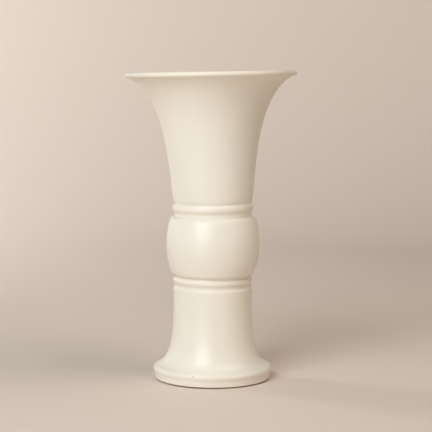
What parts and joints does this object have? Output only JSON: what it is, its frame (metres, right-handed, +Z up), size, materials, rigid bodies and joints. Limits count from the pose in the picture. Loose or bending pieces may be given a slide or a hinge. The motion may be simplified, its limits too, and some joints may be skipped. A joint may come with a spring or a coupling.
{
  "type": "trumpet vase",
  "caption": "Tall glazed ceramic trumpet vase with a wide flaring mouth, a banded barrel-shaped middle and a spreading foot, for holding cut flowers in water.",
  "frame": {"origin": "centre of the standing ring, on the surface the vase stands on", "axes": "+Z up from the foot to the mouth; the pictured front faces -Y; the trumpet leans a little towards -X"},
  "size_m": [0.2004, 0.2004, 0.3633],
  "materials": {
    "fired_clay": "matte, unglazed",
    "fired_slip": "matte, unglazed",
    "cream_glaze": "glossy cream glaze"
  },
  "bodies": {
    "root": {"foot_section": "fired_clay", "base_disc": "fired_clay", "bulb_section": "fired_clay", "trumpet_section": "fired_clay", "base_slip_joint": "fired_slip", "lower_slip_joint": "fired_slip", "upper_slip_joint": "fired_slip", "trumpet_glaze": "cream_glaze", "body_glaze": "cream_glaze", "inner_glaze": "cream_glaze", "base_glaze": "cream_glaze"}
  },
  "joints": []
}
